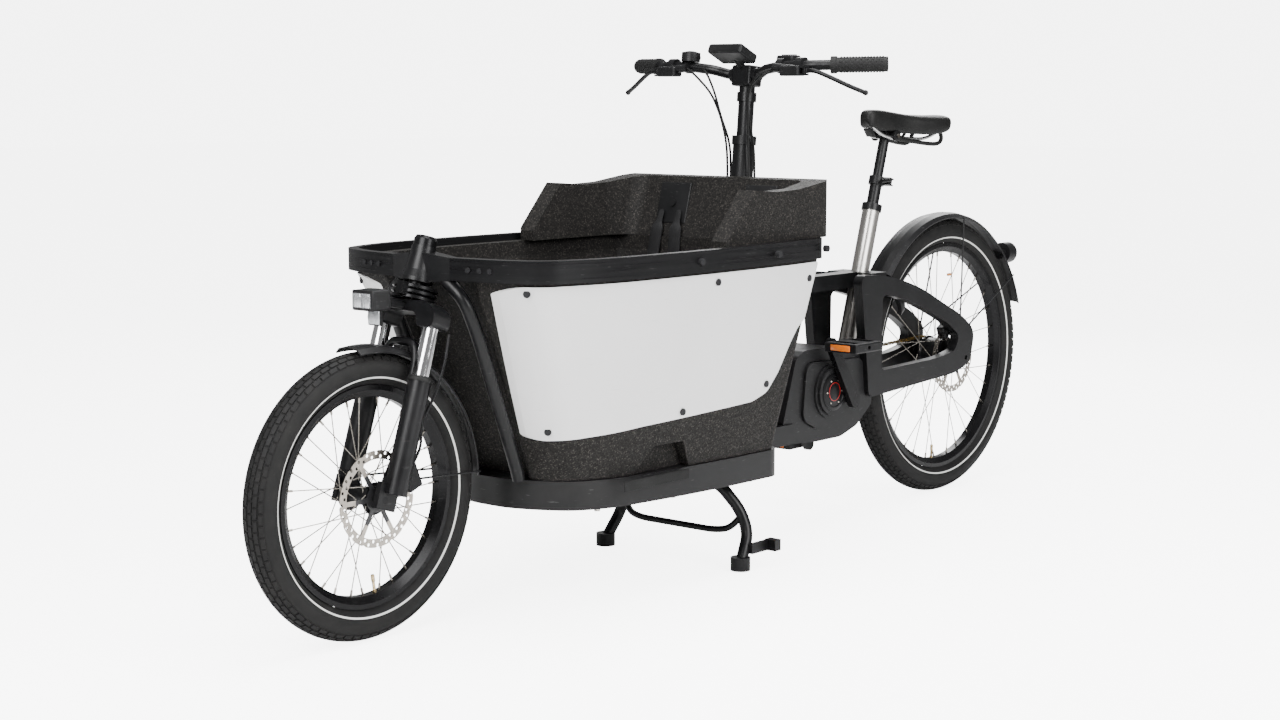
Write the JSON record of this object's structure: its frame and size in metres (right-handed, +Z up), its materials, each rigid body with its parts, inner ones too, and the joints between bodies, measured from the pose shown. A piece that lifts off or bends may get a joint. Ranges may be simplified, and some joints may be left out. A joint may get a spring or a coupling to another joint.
{
  "type": "cargo bicycle",
  "caption": "Front-loading cargo bicycle with a foam box between the wheels, linkage steering, mid motor, suspension fork, padded saddle and folding two-legged stand.",
  "frame": {"origin": "on the ground below the middle of the overall length, on the centre plane", "axes": "+X forward, +Y to the rider's left, +Z up"},
  "size_m": [2.5553, 0.7018, 1.1051],
  "materials": {
    "frame_black": "satin black powder coat",
    "foam": "dark grey-brown expanded foam with fine speckle",
    "panel_white": "off-white satin sheet",
    "rubber_black": "matt black rubber",
    "tyre_black": "dusty black tyre rubber with a pale reflective band",
    "rim_black": "black anodised",
    "spoke_steel": "bright steel wire",
    "rotor_steel": "ground steel disc",
    "hub_black": "black anodised",
    "chrome": "polished",
    "silver_tube": "brushed silver",
    "plastic_black": "fine grained black plastic",
    "bolt_steel": "zinc plated",
    "strap_fabric": "woven black webbing over padding",
    "saddle_cover": "black leather-like cover",
    "chain_gold": "gold-tinted chain steel",
    "lamp_red": "clear red lens in a black shell",
    "lock_black": "satin black",
    "brass": "yellow brass"
  },
  "bodies": {
    "frame": {"head_tube": "frame_black", "box_rail": "rim_black", "down_tubes": "frame_black", "floor_frame": "frame_black", "foam_tub": "foam", "side_panels": "panel_white", "box_fasteners": "bolt_steel", "foam_backrest": "foam", "harness_plates": "plastic_black", "shoulder_pads": "strap_fabric", "rear_beams": "frame_black", "top_tube": "frame_black", "motor_carrier": "plastic_black", "motor_housing": "plastic_black", "seat_tube": "silver_tube", "rear_triangle": "frame_black", "rear_mudguard": "plastic_black", "tail_light": "lamp_red", "ring_lock": "lock_black", "rear_brake": "hub_black", "chain": "chain_gold", "seat_extension": "frame_black"},
    "fork": {"fork_crown": "frame_black", "stanchions": "chrome", "steering_pulley": "hub_black", "headlight": "plastic_black"},
    "fork_slider": {"fork_lowers": "frame_black", "front_brake": "hub_black", "front_mudguard": "plastic_black"},
    "front_wheel": {"front_tyre": "tyre_black", "front_rim": "rim_black", "front_spokes": "spoke_steel", "front_hub": "hub_black", "front_rotor": "rotor_steel"},
    "rear_wheel": {"rear_tyre": "tyre_black", "rear_rim": "rim_black", "rear_spokes": "spoke_steel", "rear_hub": "hub_black", "rear_rotor": "rotor_steel"},
    "column": {"steering_column": "frame_black"},
    "bars": {"handlebar_stem": "frame_black", "handlebar": "frame_black", "grip_left": "rubber_black", "display": "plastic_black", "bar_controls": "plastic_black", "control_cables": "rubber_black"},
    "brake_lever_left": {"lever_left": "hub_black"},
    "brake_lever_right": {"lever_right": "hub_black"},
    "twist_grip": {"grip_right": "rubber_black"},
    "key_minus": {"remote_key_minus": "rubber_black"},
    "key_plus": {"remote_key_plus": "rubber_black"},
    "cranks": {"crankset": "hub_black"},
    "left_pedal": {"pedal_left": "plastic_black"},
    "right_pedal": {"pedal_right": "plastic_black"},
    "stand": {"stand_legs": "frame_black"},
    "seat": {"seatpost": "frame_black", "saddle": "saddle_cover"},
    "seat_lever": {"seat_clamp_lever": "hub_black"},
    "lock_bar": {"lock_shackle": "chrome"},
    "lock_key_turn": {"lock_key": "brass"}
  },
  "joints": [
    {"name": "fork_steer", "type": "hinge", "parent": "frame", "child": "fork", "pos_m": [0.86, 0, 0.69], "axis": [-0.309, 0, 0.9511], "range_deg": [-45, 45]},
    {"name": "fork_travel", "type": "slide", "parent": "fork", "child": "fork_slider", "axis": [-0.309, 0, 0.9511], "range_m": [0, 0.03], "stiffness_N_per_m": 20000, "springref_m": -0.02},
    {"name": "front_wheel_spin", "type": "hinge", "parent": "fork_slider", "child": "front_wheel", "pos_m": [1.016, 0, 0.266], "axis": [0, 1, 0], "continuous": true},
    {"name": "column_steer", "type": "hinge", "parent": "frame", "child": "column", "pos_m": [-0.113, 0, 0.817], "axis": [-0.0872, 0, 0.9962], "range_deg": [-45, 45]},
    {"name": "bar_height", "type": "slide", "parent": "column", "child": "bars", "axis": [-0.0872, 0, 0.9962], "range_m": [-0.02, 0.06]},
    {"name": "left_brake_lever", "type": "hinge", "parent": "bars", "child": "brake_lever_left", "pos_m": [-0.066, 0.204, 1.046], "axis": [0, 0, 1], "range_deg": [0, 14], "stiffness_Nm_per_rad": 1.2, "springref_deg": -8.59},
    {"name": "right_brake_lever", "type": "hinge", "parent": "bars", "child": "brake_lever_right", "pos_m": [-0.066, -0.204, 1.046], "axis": [0, 0, 1], "range_deg": [-14, 0], "stiffness_Nm_per_rad": 1.2, "springref_deg": 8.59},
    {"name": "shift_grip", "type": "hinge", "parent": "bars", "child": "twist_grip", "pos_m": [-0.092, -0.196, 1.058], "axis": [-0.4619, -0.8868, 0.0123], "range_deg": [-60, 60]},
    {"name": "minus_key_press", "type": "slide", "parent": "bars", "child": "key_minus", "axis": [0, 0, 1], "range_m": [-0.001, 0], "stiffness_N_per_m": 600, "springref_m": 0.001},
    {"name": "plus_key_press", "type": "slide", "parent": "bars", "child": "key_plus", "axis": [0, 0, 1], "range_m": [-0.001, 0], "stiffness_N_per_m": 600, "springref_m": 0.001},
    {"name": "rear_wheel_spin", "type": "hinge", "parent": "frame", "child": "rear_wheel", "pos_m": [-0.92, 0, 0.342], "axis": [0, 1, 0], "continuous": true},
    {"name": "crank_spin", "type": "hinge", "parent": "frame", "child": "cranks", "pos_m": [-0.414, 0, 0.294], "axis": [0, 1, 0], "continuous": true},
    {"name": "left_pedal_spin", "type": "hinge", "parent": "cranks", "child": "left_pedal", "pos_m": [-0.32317, 0.104, 0.43175], "axis": [0, 1, 0], "continuous": true},
    {"name": "right_pedal_spin", "type": "hinge", "parent": "cranks", "child": "right_pedal", "pos_m": [-0.50483, -0.104, 0.15625], "axis": [0, 1, 0], "continuous": true},
    {"name": "stand_fold", "type": "hinge", "parent": "frame", "child": "stand", "pos_m": [0.118, 0, 0.183], "axis": [0, 1, 0], "range_deg": [0, 60]},
    {"name": "seat_height", "type": "slide", "parent": "frame", "child": "seat", "axis": [-0.2909, 0, 0.9567], "range_m": [-0.06, 0.06]},
    {"name": "seat_clamp_swing", "type": "hinge", "parent": "frame", "child": "seat_lever", "pos_m": [-0.66559, 0.02, 0.787], "axis": [-0.2909, 0, 0.9567], "range_deg": [0, 100]},
    {"name": "lock_bar_slide", "type": "hinge", "parent": "frame", "child": "lock_bar", "pos_m": [-0.666, 0, 0.5], "axis": [-0.8, 0, 0.6], "range_deg": [0, 104]},
    {"name": "lock_key_turn", "type": "hinge", "parent": "frame", "child": "lock_key_turn", "pos_m": [-0.66664, -0.0555, 0.48248], "axis": [-0.8, 0, 0.6], "range_deg": [0, 90]}
  ],
  "couplings": [
    {"joint": "column_steer", "follows": "fork_steer", "ratio": 1}
  ]
}
